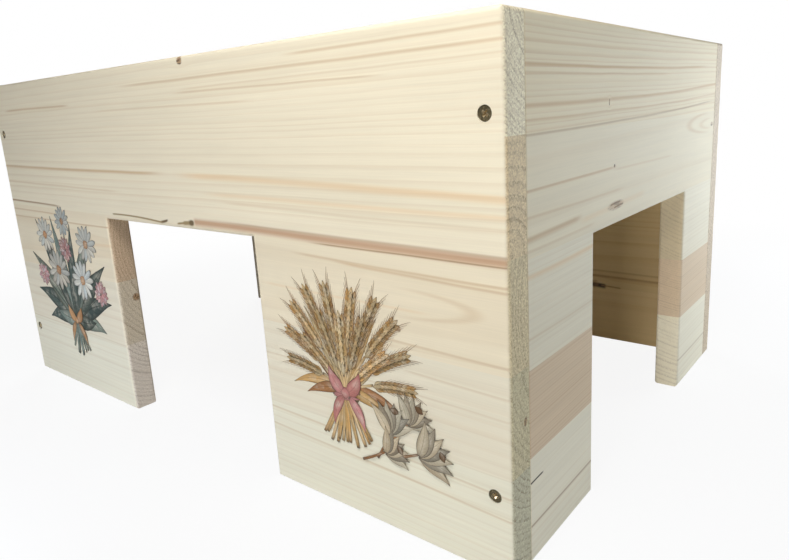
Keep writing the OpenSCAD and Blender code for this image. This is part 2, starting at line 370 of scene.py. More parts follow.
# Back board: the same glued spruce with no doorway. Its inner face, which shows through the end
# doorway, carries painted shade: a darker, warmer tint in place of the shade and warm bounce light
# inside the house. Its sawn ends show at the far corners.
INNER_SHADE_TINT = (0.93, 0.75, 0.50)
DULL = (0.93, 0.91, 0.85)
ROSY = (0.95, 0.89, 0.86)
back_strips = [
    (0.0, 58.0, 240.0, 20.0, 4.0, 0.004, WARM, 0.36),
    (58.0, 118.0, 250.0, 80.0, 3.5, -0.006, DULL, 0.36),
    (118.0, 180.0, 255.0, 230.0, 4.0, 0.004, DULL, 0.36),
    (180.0, 240.0, 240.0, 170.0, 4.5, 0.006, WARM, 0.45),
    (240.0, 300.0, 130.0, 340.0, 3.5, 0.0, WARM, 0.45),
]
back_lines = [
    (-330.0, 340.0, 77.0, 77.5, 76.0, 2.0, 0.5, BROWN),
    (-330.0, 340.0, 71.0, 71.5, 70.0, 2.4, 0.7, BROWN),
    (178.0, 196.0, 60.8, 60.5, 60.0, 4.0, 1.8, BLACK),
    (188.0, 212.0, 60.5, 60.2, 59.6, 1.5, 0.9, BROWN),
]
back_knots = [
    (182.0, 180.0, 61.0, 5.0, 14.0, 4.5, 0.4),
    (-120.0, 200.0, 206.0, 7.0, 14.0, 4.5, 0.7),
    (70.0, 200.0, 128.0, 2.5, 9.0, 2.0, 0.8),
]
back_wood = spruce("back_spruce", LENGTHWISE, back_strips, seed=11.0, slope=0.004, lines=back_lines,
                   knots=back_knots, sawn_tints=[ROSY] * len(back_strips), inner_shade_tint=INNER_SHADE_TINT)
dress("back_panel", back_wood)


# Right end board: glued spruce between the long walls, with the end doorway. One of its strips is
# reddish heartwood with close rings, and a split runs in from the lower screw of the front board.
GREYED = (0.985, 0.95, 0.865)
SALLOW = (0.98, 0.965, 0.92)
FROSTED = (1.02, 1.04, 1.06)
right_strips = [
    (0.0, 64.5, 330.0, 230.0, 4.2, 0.002, FROSTED, 0.15),
    (64.5, 116.7, 315.0, 250.0, 1.9, 0.0, PINK, 0.42),
    (116.7, 178.0, 325.0, 235.0, 3.4, 0.003, COOL, 0.16),
    (178.0, 240.0, 345.0, 215.0, 6.0, -0.004, SALLOW, 0.15),
    (240.0, 300.0, 285.0, 470.0, 3.6, 0.0, GREYED, 0.42),
]
right_lines = [
    (-235.0, 160.0, 275.0, 275.5, 279.0, 1.7, 0.75, TAN),
    (-225.0, 60.0, 270.8, 271.0, 272.5, 1.3, 0.4, TAN),
    (-230.0, 235.0, 254.8, 257.5, 266.0, 1.9, 0.8, TAN),
    (-230.0, 235.0, 247.5, 250.0, 257.0, 1.4, 0.5, TAN),
    (-240.0, 190.0, 240.6, 243.0, 249.5, 1.3, 0.6, BROWN),
    (-205.0, -55.0, 213.5, 213.6, 213.8, 1.5, 0.7, TAN),
    (-70.0, 60.0, 212.5, 211.0, 210.0, 1.5, 0.3, TAN),
    (-205.0, -40.0, 200.5, 199.0, 198.5, 1.6, 0.4, TAN),
    (-225.0, -110.0, 187.5, 188.6, 190.0, 3.0, 0.8, TAN),
    (-205.0, -90.0, 182.5, 182.0, 183.0, 1.6, 0.35, TAN),
    (-205.0, -85.0, 169.5, 168.5, 170.0, 3.0, 0.5, ORANGE),
    (-205.0, -85.0, 135.0, 134.2, 134.8, 1.4, 0.35, TAN),
    (-200.0, -80.0, 23.5, 23.7, 24.2, 1.5, 0.8, BROWN),
    (80.0, 200.0, 26.0, 25.0, 26.0, 1.6, 0.45, BROWN),
    (-187.0, -164.0, 50.3, 50.9, 51.0, 0.9, 1.7, BLACK),
    (-120.0, 0.0, 187.2, 188.8, 190.0, 3.4, 0.3, ORANGE),
    (-71.0, -51.0, 189.5, 190.3, 190.2, 1.0, 1.5, OLIVE),
    (-65.0, -46.0, 187.2, 187.8, 188.2, 0.9, 1.4, OLIVE),
]
right_loops = [
    (172.0, 230.5, -72.0, 8.5, 1.6, 0.4, TAN),
    (176.0, 229.5, -40.0, 4.5, 1.4, 0.3, TAN),
]
right_knots = [
    (-60.0, 295.0, 188.6, 14.0, 12.0, 3.0, 0.5),
    (172.5, 295.0, 228.7, 4.0, 10.0, 2.0, 0.6),
    (-73.5, 295.0, 254.0, 0.9, 6.0, 2.0, 0.8),
    (-63.5, 295.0, 214.2, 1.2, 6.0, 1.2, 0.9),
]
# Painted light and shade on the sides of the end doorway: the sawn ends are kept nearly as pale as the
# faces and the lowest strip is lighter still, as if lit from the floor, while the two strips above it are
# darker and browner, as shade under the lintel
right_sawn_light_and_shade = [(1.13, 1.11, 1.06), (0.93, 0.78, 0.67), (0.88, 0.79, 0.655), SALLOW, GREYED]
right_wood = spruce("right_end_spruce", ENDWISE, right_strips, seed=23.0, slope=0.012, lines=right_lines,
                    loops=right_loops, knots=right_knots, sawn_dark=0.1, sawn_tints=right_sawn_light_and_shade)
dress("right_end_panel", right_wood)


# Left end board: glued spruce cut like the right one, with the same doorway, from another board. It
# stands between the long walls and takes four of their corner screws.
left_strips = [
    (0.0, 60.0, -340.0, 20.0, 5.0, 0.002, PLAIN, 0.35),
    (60.0, 122.0, -330.0, 90.0, 4.0, 0.006, WARM, 0.4),
    (122.0, 183.0, -350.0, 260.0, 4.5, 0.0, COOL, 0.35),
    (183.0, 244.0, -345.0, 215.0, 5.0, -0.006, PLAIN, 0.4),
    (244.0, 300.0, -290.0, 440.0, 3.6, 0.0, WARM, 0.45),
]
left_knots = [
    (88.0, -295.0, 224.0, 6.0, 12.0, 3.5, 0.7),
    (-130.0, -295.0, 92.0, 2.5, 9.0, 2.0, 0.8),
]
left_loops = [(60.0, 150.0, 90.0, 9.0, 1.6, 0.4, TAN)]
left_wood = spruce("left_end_spruce", ENDWISE, left_strips, seed=31.0, slope=-0.006, loops=left_loops,
                   knots=left_knots)
dress("left_end_panel", left_wood)


# Roof battens: square planed strips of spruce, each cut from one length and screwed inside a long
# wall, where they carry the roof.
batten_strips = [(260.0, 280.0, -160.0, 330.0, 2.6, 0.004, WARM, 0.6)]
dress("front_roof_batten", spruce("front_batten_wood", LENGTHWISE, batten_strips, seed=53.0))
dress("back_roof_batten", spruce("back_batten_wood", LENGTHWISE, batten_strips, seed=59.0))


# Roof board: the same glued spruce, bare like the walls. It lies loose on the battens, level with the
# wall tops, and lifts straight out.
roof_strips = [
    (-178.0, -118.0, 340.0, -150.0, 4.0, 0.006, PLAIN, 0.4),
    (-118.0, -58.0, 330.0, -20.0, 4.5, -0.004, WARM, 0.35),
    (-58.0, 2.0, 350.0, -30.0, 3.5, 0.007, PLAIN, 0.4),
    (2.0, 62.0, 320.0, 140.0, 4.0, 0.0, COOL, 0.35),
    (62.0, 122.0, 345.0, 90.0, 4.0, -0.006, PINK, 0.4),
    (122.0, 178.0, 330.0, 240.0, 3.8, 0.003, PLAIN, 0.4),
]
roof_loops = [
    (-40.0, -88.0, 150.0, 12.0, 2.0, 0.45, TAN),
    (-40.0, -88.0, 90.0, 6.0, 1.8, 0.4, TAN),
]
roof_knots = [
    (-150.0, 300.0, -88.0, 6.0, 12.0, 3.5, 0.7),
    (95.0, 300.0, 30.0, 8.0, 14.0, 4.5, 0.75),
    (210.0, 300.0, -140.0, 2.5, 9.0, 1.9, 0.8),
]
roof_wood = spruce("roof_spruce", FLATWISE, roof_strips, seed=43.0, slope=0.004, loops=roof_loops,
                   knots=roof_knots)
dress("roof_board", roof_wood)


# Corner screws: countersunk wood screws of 4 by 45 mm with a cross recess, bronzed dark brown. Four
# hold each long wall to the end boards. The bronzing is rubbed bright where the bit has turned.
def bronze(name, colour, worn_colour, roughness, metal):
    """Dark bronzed steel, clouded and a little rubbed."""
    material = bpy.data.materials.new(name)
    material.use_nodes = True
    tree = material.node_tree
    shader = tree.nodes["Principled BSDF"]
    start = Wire(tree)
    place = start.add("ShaderNodeTexCoord", {}, output="Object")
    cloud = start.add("ShaderNodeTexNoise", {"Vector": place, "Scale": 900.0, "Detail": 3.0})
    scratch = start.add("ShaderNodeTexNoise", {"Vector": place, "Scale": 3500.0, "Detail": 2.0})
    rubbed = (cloud * 0.6 + scratch * 0.4).rise(0.48, 0.68)
    tree.links.new(rubbed.pick(colour, worn_colour).socket, shader.inputs["Base Color"])
    tree.links.new((roughness + 0.2 * (1.0 - rubbed)).socket, shader.inputs["Roughness"])
    bump = start.add("ShaderNodeBump", {"Height": scratch, "Strength": 0.3, "Distance": 0.0001})
    tree.links.new(bump.socket, shader.inputs["Normal"])
    shader.inputs["Metallic"].default_value = metal
    return material


def choose(piece, test):
    """Goes to edit mode with just those faces selected whose middle and normal pass the test."""
    bpy.ops.object.mode_set(mode="EDIT")
    bpy.ops.mesh.select_mode(type="FACE")
    bpy.ops.mesh.select_all(action="DESELECT")
    bpy.ops.object.mode_set(mode="OBJECT")
    for face in piece.data.polygons:
        face.select = test(face.center, face.normal)
    bpy.ops.object.mode_set(mode="EDIT")


def push_out(rise, share):
    """Extrudes the selected face along z and draws it in to this share of its width."""
    bpy.ops.mesh.extrude_region_move(TRANSFORM_OT_translate={"value": (0, 0, rise)})
    if share != 1:
        bpy.ops.transform.resize(value=(share, share, 1))


HEAD_RIM = 0.0004
HEAD_EASE = 0.00022
TIP_LENGTH = 0.006
CORE_SHARE = 0.7
PITCH_SHARE = 0.45
THREAD_STEPS = 20
THREAD_START = 0.004
THREAD_END = 0.0065
RIDGE_BITE = 0.00003
# An arm and a fine line of the recess: share of the head's width, then width and depth in metres
ARM = (0.56, 0.0016, 0.0019)
FINE_LINE = (0.50, 0.00022, 0.0002)
RECESS_FLOOR = 0.3
OVERCUT = 0.0002
dark_bronze = bronze("dark_bronze", (0.085, 0.066, 0.03, 1), (0.27, 0.225, 0.13, 1), 0.36, 0.5)
worn_bronze = bronze("worn_bronze", (0.46, 0.37, 0.22, 1), (0.95, 0.86, 0.68, 1), 0.26, 0.86)


def wood_screw(name, head, thread, length):
    """One screw: the flat of its head on z = 0, its shank and point up the z axis. Metres."""
    core = thread * CORE_SHARE
    cone = (head - core) / 2
    bpy.ops.object.select_all(action="DESELECT")
    bpy.ops.mesh.primitive_cylinder_add(vertices=40, radius=head / 2, depth=HEAD_RIM,
                                        location=(0, 0, HEAD_RIM / 2))
    screw = bpy.context.object
    screw.name = name
    bpy.ops.object.transform_apply(location=True, rotation=True, scale=True)
    choose(screw, lambda middle, normal: normal.z > 0.9)
    push_out(cone, core / head)
    push_out(length - HEAD_RIM - cone - TIP_LENGTH, 1)
    push_out(TIP_LENGTH * 2 / 3, 0.55)
    push_out(TIP_LENGTH / 3, 0.3)
    choose(screw, lambda middle, normal: normal.z < -0.9)
    bpy.ops.mesh.bevel(offset=HEAD_EASE, segments=2, affect="EDGES")
    bpy.ops.object.mode_set(mode="OBJECT")

    # Bit for the recess: two tapered arms, and two fine lines that run between them
    arms = []
    for turn, (share, wide, deep) in ((0, ARM), (90, ARM), (45, FINE_LINE), (135, FINE_LINE)):
        bpy.ops.object.select_all(action="DESELECT")
        bpy.ops.mesh.primitive_cube_add(size=1, location=(0, 0, deep / 2 - OVERCUT),
                                        rotation=(0, 0, math.radians(turn)))
        arm = bpy.context.object
        arm.scale = (share * head, wide, deep + 2 * OVERCUT)
        bpy.ops.object.transform_apply(location=True, rotation=True, scale=True)
        choose(arm, lambda middle, normal: normal.z > 0.9)
        bpy.ops.transform.resize(value=(RECESS_FLOOR, RECESS_FLOOR, 1))
        bpy.ops.object.mode_set(mode="OBJECT")
        arms.append(arm)
    for arm in arms:
        sink = screw.modifiers.new("recess", "BOOLEAN")
        sink.object = arm
        sink.operation = "DIFFERENCE"
        bpy.ops.object.select_all(action="DESELECT")
        screw.select_set(True)
        bpy.context.view_layer.objects.active = screw
        bpy.ops.object.modifier_apply(modifier=sink.name)
        bpy.data.objects.remove(arm)

    # Thread: a three-sided ridge wound round the core
    ridge = (thread - core) / 3 + RIDGE_BITE
    first = HEAD_RIM + cone + THREAD_START
    bpy.ops.object.select_all(action="DESELECT")
    bpy.ops.mesh.primitive_circle_add(vertices=3, radius=ridge, rotation=(0, math.pi / 2, 0),
                                      location=(0, thread / 2 - ridge, first))
    winding = bpy.context.object
    bpy.ops.object.transform_apply(location=True, rotation=True, scale=True)
    pitch = thread * PITCH_SHARE
    turns = int((length - THREAD_END - first) / pitch)
    wound = winding.modifiers.new("thread", "SCREW")
    wound.axis = "Z"
    wound.angle = 2 * math.pi
    wound.screw_offset = pitch
    wound.iterations = turns
    wound.steps = THREAD_STEPS
    wound.render_steps = THREAD_STEPS
    bpy.ops.object.modifier_apply(modifier=wound.name)
    bpy.ops.object.mode_set(mode="EDIT")
    bpy.ops.mesh.select_all(action="SELECT")
    bpy.ops.mesh.fill_holes(sides=3)
    bpy.ops.mesh.normals_make_consistent(inside=False)
    bpy.ops.object.mode_set(mode="OBJECT")
    screw.select_set(True)
    bpy.context.view_layer.objects.active = screw
    bpy.ops.object.join()

    screw.data.materials.clear()
    screw.data.materials.append(dark_bronze)
    screw.data.materials.append(worn_bronze)
    arm_share, _, arm_depth = ARM
    for face in screw.data.polygons:
        inside = math.hypot(face.center.x, face.center.y) < arm_share / 2 * head
        sunk = OVERCUT / 4 < face.center.z < arm_depth + OVERCUT
        face.material_index = 1 if inside and sunk else 0
    bpy.ops.object.shade_smooth_by_angle(angle=math.radians(35))
    return screw


FIRST_SPIN = 38
SPIN_STEP = 67


def drive(screw, name, node, turn, places):
    """Copies a screw to its places, turned about x to point into the wood, and joins the copies."""
    bpy.ops.object.select_all(action="DESELECT")
    for count, place in enumerate(places):
        copy = screw.copy()
        copy.data = screw.data.copy()
        bpy.context.collection.objects.link(copy)
        spin = Matrix.Rotation(math.radians(FIRST_SPIN + SPIN_STEP * count), 4, "Z")
        aim = Matrix.Rotation(math.radians(turn), 4, "X")
        copy.data.transform(Matrix.Translation(place) @ aim @ spin)
        copy.select_set(True)
        bpy.context.view_layer.objects.active = copy
    bpy.ops.object.join()
    piece = bpy.context.object
    piece.name = name
    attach(piece, "house")
    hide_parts(node)


WALL_FACE = 0.2
HEAD_SINK = 0.0005
corner_screw = wood_screw("corner_screw", head=0.008, thread=0.004, length=0.045)
corner_y = WALL_FACE - HEAD_SINK
corner_places = [(x, z) for x in (0.284, -0.284) for z in (0.2525, 0.05)]
front_corners = [(x, -corner_y, z) for x, z in corner_places]
back_corners = [(x, corner_y, z) for x, z in corner_places]
drive(corner_screw, "front_wall_screws", "front_panel_screws", -90, front_corners)
drive(corner_screw, "back_wall_screws", "back_panel_screws", 90, back_corners)
bpy.data.objects.remove(corner_screw)


# Batten screws: shorter ones of the same make, 3.5 by 30 mm, driven from inside through each batten
# into its wall.
BATTEN_FACE = 0.16
BATTEN_MIDDLE = 0.27
batten_screw = wood_screw("batten_screw", head=0.007, thread=0.0035, length=0.030)
batten_y = BATTEN_FACE + HEAD_SINK
batten_x = (-0.2145, 0.0, 0.2145)
front_row = [(x, -batten_y, BATTEN_MIDDLE) for x in batten_x]
back_row = [(x, batten_y, BATTEN_MIDDLE) for x in batten_x]
drive(batten_screw, "front_rail_screws", "front_batten_screws", 90, front_row)
drive(batten_screw, "back_rail_screws", "back_batten_screws", -90, back_row)
bpy.data.objects.remove(batten_screw)


# Wheat print: a tied sheaf of ripe wheat with seed pods, printed in watercolour on thin tissue and
# glued flat to the front board right of the doorway, where the grain shows faintly through it.
BARE_TISSUE = (0.74, 0.68, 0.55, 1)
POOLED_TINT = (0.36, 0.32, 0.30, 1)
INK = (0.075, 0.06, 0.045, 1)
TISSUE_THICK = 0.00008
TISSUE_GAP = 0.00012


def watercolour(name):
    """Matt pigment on tissue: each shape is washed, pooled darker at its rim and lined in ink."""
    material = bpy.data.materials.new(name)
    material.use_nodes = True
    tree = material.node_tree
    shader = tree.nodes["Principled BSDF"]
    start = Wire(tree)
    tone = start.add("ShaderNodeAttribute", {}, output="Color", attribute_name="tone")
    veined = start.add("ShaderNodeAttribute", {}, output="Alpha", attribute_name="tone")
    uv = start.add("ShaderNodeTexCoord", {}, output="UV")
    place = start.add("ShaderNodeTexCoord", {}, output="Object")
    u = start.add("ShaderNodeSeparateXYZ", {0: uv}, output=0)
    v = start.add("ShaderNodeSeparateXYZ", {0: uv}, output=1)
    wash = start.add("ShaderNodeTexNoise", {"Vector": place, "Scale": 110.0, "Detail": 4.0})
    speck = start.add("ShaderNodeTexNoise", {"Vector": place, "Scale": 900.0, "Detail": 2.0})
    side = abs(v - 0.5) * 2.0
    edge = side.at_least(abs(u - 0.5) * 2.0)
    pale = wash.rise(0.42, 0.68) * (1.0 - side) * 0.55
    colour = pale.pick(tone, BARE_TISSUE)
    pooled = (edge + 0.5 * (wash - 0.5)).rise(0.45, 1.0) * 0.55
    under = (1.0 - v).rise(0.35, 1.0) * 0.4
    deep = tone.tinted(POOLED_TINT)
    colour = pooled.at_least(under).pick(colour, deep)
    rib = (u - side * 0.22) * 9.0
    rib = rib - rib.floor()
    rib_line = rib.rise(0.78, 0.9) * (1.0 - rib.rise(0.9, 1.0)) * 0.6
    vein = (1.0 - side.rise(0.02, 0.12)).at_least(rib_line)
    colour = (vein * veined * 0.7).pick(colour, deep)
    ink = (edge + 0.16 * (speck - 0.5)).rise(0.86, 0.97) * wash.rise(0.3, 0.5)
    colour = (ink * 0.75).pick(colour, INK)
    drawn_out = {0: place, 1: (22.0, 1300.0, 1300.0)}
    fibre = start.noise(start.add("ShaderNodeVectorMath", drawn_out, operation="MULTIPLY"), 3.0)
    shade = 0.72 + 0.26 * speck + 0.3 * fibre
    colour = colour.tinted(start.add("ShaderNodeCombineColor", {0: shade, 1: shade, 2: shade}))
    tree.links.new(colour.socket, shader.inputs["Base Color"])
    tree.links.new((0.72 + 0.2 * fibre).socket, shader.inputs["Roughness"])
    shader.inputs["Specular IOR Level"].default_value = 0.25
    return material


def flat_shape(name, cells, widths):
    """A flat shape one metre long in x: a grid whose rows are drawn in to these shares of its width."""
    bpy.ops.object.select_all(action="DESELECT")
    rows = len(widths) - 1
    bpy.ops.mesh.primitive_grid_add(x_subdivisions=rows, y_subdivisions=cells, size=1,
                                    location=(0.5, 0, 0))
    shape = bpy.context.object
    shape.name = name
    bpy.ops.object.transform_apply(location=True, rotation=True, scale=True)
    for row, width in enumerate(widths):
        bpy.ops.object.mode_set(mode="EDIT")
        bpy.ops.mesh.select_mode(type="VERT")
        bpy.ops.mesh.select_all(action="DESELECT")
        bpy.ops.object.mode_set(mode="OBJECT")
        for corner in shape.data.vertices:
            corner.select = abs(corner.co.x - row / rows) < 0.001
        bpy.ops.object.mode_set(mode="EDIT")
        bpy.ops.transform.resize(value=(1, width, 1), center_override=(row / rows, 0, 0))
    bpy.ops.object.mode_set(mode="OBJECT")
    return shape


def cut(shape, x, y, length, width, turn, bend=0.0, tone=(1, 1, 1), vein=0.0, lift=0.0):
    """A tinted copy of a flat shape with its foot at x, y, sized, curved and turned. Millimetres, degrees.

    lift raises it above the shapes that it overlaps, and vein is how strongly its veins are drawn.
    """
    piece = shape.copy()
    piece.data = shape.data.copy()
    bpy.context.collection.objects.link(piece)
    piece.data.transform(Matrix.Diagonal((length * MM, width * MM, 1, 1)))
    if bend:
        bpy.ops.object.select_all(action="DESELECT")
        piece.select_set(True)
        bpy.context.view_layer.objects.active = piece
        curl = piece.modifiers.new("curl", "SIMPLE_DEFORM")
        curl.deform_method = "BEND"
        curl.deform_axis = "Z"
        curl.angle = math.radians(bend)
        bpy.ops.object.modifier_apply(modifier=curl.name)
    spin = Matrix.Rotation(math.radians(turn), 4, "Z")
    piece.data.transform(Matrix.Translation((x * MM, y * MM, lift * MM)) @ spin)
    if "tone" not in piece.data.attributes:
        fresh = piece.data.attributes.new("tone", "FLOAT_COLOR", "POINT")
        for dot in fresh.data:
            dot.color = (1, 1, 1, vein)
    for dot in piece.data.attributes["tone"].data:
        dot.color = (*(a * b for a, b in zip(dot.color, tone)), dot.color[3])
    return piece


def gather(pieces, name):
    """Joins flat shapes into one."""
    bpy.ops.object.select_all(action="DESELECT")
    for piece in pieces:
        piece.select_set(True)
    bpy.context.view_layer.objects.active = pieces[0]
    bpy.ops.object.join()
    whole = bpy.context.object
    whole.name = name
    return whole


def press(pieces, name, material):
    """Joins the shapes of a print, gives them the tissue's thickness and lays them on the front board."""
    whole = gather(pieces, name)
    upright = Matrix.Rotation(math.pi / 2, 4, "X")
    whole.data.transform(Matrix.Translation((0, -WALL_FACE - TISSUE_GAP, 0)) @ upright)
    body = whole.modifiers.new("tissue", "SOLIDIFY")
    body.thickness = TISSUE_THICK
    body.offset = -1
    bpy.ops.object.modifier_apply(modifier=body.name)
    whole.data.materials.clear()
    whole.data.materials.append(material)
    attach(whole, "house")


def varied(colour, chance):
    """A colour a little lighter or darker, and warmer or cooler."""
    light = chance.uniform(0.78, 1.22)
    warm = chance.uniform(-0.06, 0.06)
    return (colour[0] * light * (1 + warm), colour[1] * light, colour[2] * light * (1 - warm))


def toward(x, z, far, turn):
    """The point this far from x, z in the direction turn."""
    return x + far * math.cos(math.radians(turn)), z + far * math.sin(math.radians(turn))


STRAW = (0.66, 0.48, 0.25)
GOLD = (0.55, 0.34, 0.13)
RUST = (0.33, 0.165, 0.07)
UMBER = (0.15, 0.085, 0.042)
ASH = (0.30, 0.26, 0.19)
HUSK = (0.52, 0.45, 0.32)
ROSE = (0.52, 0.22, 0.20)
SHEAF_TIE = (176.0, 86.0)
chance = random.Random(17)
tissue = watercolour("watercolour_tissue")
grain_shape = flat_shape("grain", 4, (0.12, 0.7, 0.97, 1.0, 0.82, 0.5, 0.06))
awn_shape = flat_shape("awn", 1, (1.0, 0.85, 0.7, 0.5, 0.15))
stalk_shape = flat_shape("stalk", 2, (1.0, 0.98, 0.96, 0.94, 0.92, 0.9, 0.88, 0.86, 0.84))
blade_shape = flat_shape("blade", 6, (0.25, 0.6, 0.85, 0.98, 1.0, 0.94, 0.82, 0.64, 0.42, 0.2, 0.03))
round_shape = flat_shape("round", 8, [max(0.06, math.sin(math.pi * step / 12)) for step in range(13)])

# One ear: rows of grains that lap each other from the tip down, each with its awn
ear_pieces = [cut(grain_shape, 43.0, 0.0, 14.0, 5.0, 0.0, 0.0, STRAW, 0.6)]
for row in range(9):
    up = 44.0 - row * 4.8
    for side in (-1, 1):
        tone = varied(GOLD if (row + side) % 3 else STRAW, chance)
        lift = 0.001 * (row * 3 + side + 1)
        awn_tone = varied(RUST, chance)
        awn = cut(awn_shape, up + 4.0, side * 2.2, 20.0, 0.5, side * 13, side * 8, awn_tone, 0.0, lift)
        grain = cut(grain_shape, up, side * 0.9, 11.5, 5.0, side * 24, -side * 14, tone, 0.5, lift)
        ear_pieces += [awn, grain]
    tone = varied(STRAW, chance)
    lift = 0.001 * (row * 3 + 3)
    ear_pieces.append(cut(grain_shape, up - 2.0, 0.0, 11.0, 4.6, 0.0, 0.0, tone, 0.6, lift))
ear = gather(ear_pieces, "ear")

# The sheaf: leaves behind, ears fanned out in two tiers, straw below the tie, then the ribbon
sheaf = []
sheaf_leaves = [
    (164, 50, 8.5, 44, GOLD), (14, 50, 8.0, -46, RUST), (146, 54, 8.0, -26, RUST),
    (34, 54, 8.0, 28, STRAW), (178, 38, 8.0, 34, RUST), (2, 38, 8.0, -34, GOLD),
    (116, 60, 7.0, 12, STRAW), (66, 60, 7.0, -12, GOLD),
]
for count, (turn, length, width, bend, colour) in enumerate(sheaf_leaves):
    tone = varied(colour, chance)
    sheaf.append(cut(blade_shape, *SHEAF_TIE, length, width, turn, bend, tone, 0.8, 0.004 * count))
sheaf_ears = [
    (152, 45, 20, 0.66), (28, 50, -22, 0.66), (136, 52, 16, 0.70), (44, 54, -16, 0.70),
    (122, 58, 12, 0.74), (58, 60, -12, 0.74), (110, 61, 8, 0.76), (70, 61, -8, 0.76),
    (97, 59, 4, 0.78), (83, 58, -4, 0.78), (130, 38, 12, 0.70), (50, 39, -12, 0.70),
    (107, 43, 5, 0.76), (73, 44, -5, 0.76), (90, 40, 1, 0.80),
]
for count, (turn, length, bend, ear_size) in enumerate(sheaf_ears):
    lift = 0.04 + 0.03 * count
    stem = length - 40.0 * ear_size
    foot = toward(*SHEAF_TIE, -12.0, turn)
    tone = varied(STRAW, chance)
    sheaf.append(cut(stalk_shape, *foot, stem + 14.0, 2.0, turn, bend * 0.5, tone, 0.7, lift))
    top = toward(*foot, stem + 11.0, turn + bend * 0.3)
    tone = varied((0.92, 0.92, 0.92), chance)
    ear_scale = ear_size / MM
    ear_turn = turn + bend * 0.5
    sheaf.append(cut(ear, *top, ear_scale, ear_scale, ear_turn, bend, tone, 0.0, lift + 0.002))
for count in range(15):
    turn = -126 + 5.1 * count + chance.uniform(-2, 2)
    tone = varied(GOLD if count % 3 else STRAW, chance)
    length = chance.uniform(35.0, 42.0)
    lift = 0.52 + 0.003 * count
    sheaf.append(cut(stalk_shape, *SHEAF_TIE, length, 2.7, turn, chance.uniform(-8, 8), tone, 0.7, lift))
sheaf_ribbon = [
    (-11.5, -0.5, 25.0, 6.0, -4, 12), (-11.0, -4.5, 24.0, 5.0, -2, 10), (3.0, -4.0, 25.0, 7.5, -40, -40),
    (-1.0, -4.0, 25.0, 7.0, 222, 46), (1.0, -2.0, 21.0, 10.0, 26, 55), (-1.0, -2.0, 21.0, 10.0, 154, -55),
]
for count, (x, z, length, width, turn, bend) in enumerate(sheaf_ribbon):
    lift = 0.57 + 0.004 * count
    x, z = SHEAF_TIE[0] + x, SHEAF_TIE[1] + z
    sheaf.append(cut(blade_shape, x, z, length, width, turn, bend, varied(ROSE, chance), 0.5, lift))
sheaf.append(cut(round_shape, SHEAF_TIE[0] - 4.0, SHEAF_TIE[1] - 2.0, 8.0, 7.5, 0, 0, ROSE, 0.2, 0.60))

# Seed pods: each a fan of husks on a stalk, with a dark seed at its mouth
pods = [
    (226.0, 76.0, 20.0, 58), (211.0, 66.0, 22.0, 76),
    (233.0, 58.0, 25.0, 24), (207.0, 52.0, 19.0, 34),
]
for count, (x, z, size, turn) in enumerate(pods):
    lift = 0.62 + 0.04 * count
    foot = toward(x, z, -22.0, turn * 0.8)
    tone = varied(RUST, chance)
    sheaf.append(cut(stalk_shape, *foot, 24.0, 1.8, turn * 0.75, 8, tone, 0.6, lift))
    for step in range(7):
        lean = turn - 39 + 13 * step
        tone = varied(ASH if step % 2 else HUSK, chance)
        leaf_lift = lift + 0.003 * (step + 1)
        bend = (step - 3) * 9
        sheaf.append(cut(blade_shape, x, z, size, size * 0.36, lean, bend, tone, 0.7, leaf_lift))
    mouth_x, mouth_z = toward(x, z, size * 0.8, turn)
    seed = cut(round_shape, mouth_x - 2.5, mouth_z, 7.0, 4.6, turn - 90, 0, UMBER, 0.3, lift + 0.03)
    sheaf.append(seed)
press(sheaf, "wheat_print", tissue)
bpy.data.objects.remove(ear)


# Posy print: meadow daisies, clover and slate-green leaves, printed on the same tissue and glued flat
# to the front board left of the doorway.
SLATE = (0.075, 0.10, 0.085)
SAGE = (0.19, 0.235, 0.195)
FROST = (0.62, 0.63, 0.57)
OCHRE = (0.55, 0.30, 0.14)
CLOVER = (0.56, 0.30, 0.29)
SEED_EYE = (0.42, 0.20, 0.08)
PALE_CLOVER = (0.62, 0.46, 0.43)
POSY_TIE = (-190.0, 72.0)
PETALS = 13
EYE_DOTS = 14
FLORETS = 30
GOLDEN_TURN = 137.5
chance = random.Random(29)
petal_shape = flat_shape("petal", 4, (0.35, 0.6, 0.82, 0.96, 1.0, 0.94, 0.72, 0.3))

daisy_pieces = []
for step in range(PETALS):
    turn = step * 360.0 / PETALS + chance.uniform(-6, 6)
    length = chance.uniform(12.5, 15.0)
    bend = chance.uniform(-12, 12)
    foot = toward(0.0, 0.0, 2.5, turn)
    tone = varied(FROST, chance)
    daisy_pieces.append(cut(petal_shape, *foot, length, 5.2, turn, bend, tone, 0.45, 0.002 * step))
daisy_pieces.append(cut(round_shape, -4.2, 0.0, 8.4, 8.0, 0, 0, OCHRE, 0.0, 0.03))
for step in range(EYE_DOTS):
    dot = toward(-0.6, 0.0, 3.4 * math.sqrt((step + 0.5) / EYE_DOTS), step * GOLDEN_TURN)
    tone = varied(SEED_EYE, chance)
    daisy_pieces.append(cut(round_shape, *dot, 1.3, 1.2, 0, 0, tone, 0.0, 0.032 + 0.001 * step))
daisy = gather(daisy_pieces, "daisy")

clover_pieces = []
for step in range(FLORETS):
    turn = step * GOLDEN_TURN
    far = 7.2 * math.sqrt((FLORETS - step - 0.5) / FLORETS)
    tone = varied(CLOVER if step % 3 else PALE_CLOVER, chance)
    bend = chance.uniform(-15, 15)
    foot = toward(0.0, 0.0, far * 0.4, turn)
    length = 3.6 + far * 0.55
    clover_pieces.append(cut(petal_shape, *foot, length, 2.9, turn, bend, tone, 0.4, 0.0015 * step))
clover = gather(clover_pieces, "clover")

